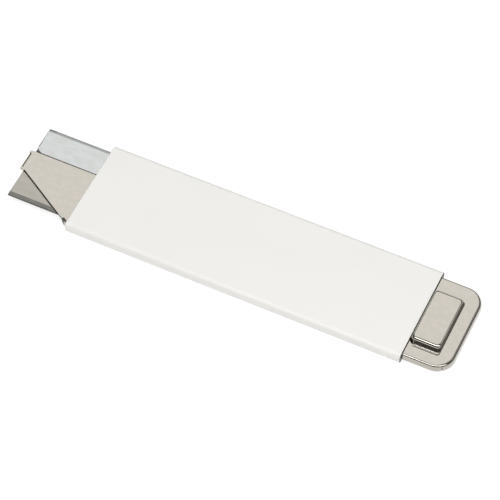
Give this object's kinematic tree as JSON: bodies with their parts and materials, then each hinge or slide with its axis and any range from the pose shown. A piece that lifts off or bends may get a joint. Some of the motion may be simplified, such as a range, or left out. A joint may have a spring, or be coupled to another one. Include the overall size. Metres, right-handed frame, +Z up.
{
  "type": "carton cutter",
  "caption": "Flat pocket cutter: a folded painted sleeve with a sliding sheet-metal tray, thumb boss at the tail and a single-edge blade at the front.",
  "frame": {"origin": "centre of the sleeve's flat back, on the surface the cutter lies on", "axes": "+X along the slide from the blade to the thumb boss, +Y towards the blade's spine, +Z up out of the top face"},
  "size_m": [0.1005, 0.023, 0.0041],
  "materials": {
    "white_enamel": "gloss white enamel over folded steel sheet",
    "nickel_sheet": "warm nickel plate, finely brushed",
    "blade_steel": "hardened steel with a ground and honed edge",
    "spine_metal": "bright rolled sheet, slightly cool",
    "spring_steel": "dark tempered spring steel",
    "rivet_metal": "satin"
  },
  "bodies": {
    "sleeve_body": {"sleeve": "white_enamel"},
    "slide_body": {"slide_tray": "nickel_sheet", "razor_blade": "blade_steel", "blade_spine": "spine_metal", "blade_clamp": "spring_steel", "clamp_rivets": "rivet_metal", "stop_spring": "spring_steel", "stop_rivets": "rivet_metal"}
  },
  "joints": [
    {"name": "slide_travel", "type": "slide", "parent": "sleeve_body", "child": "slide_body", "axis": [1, 0, 0], "range_m": [0, 0.0157]}
  ]
}
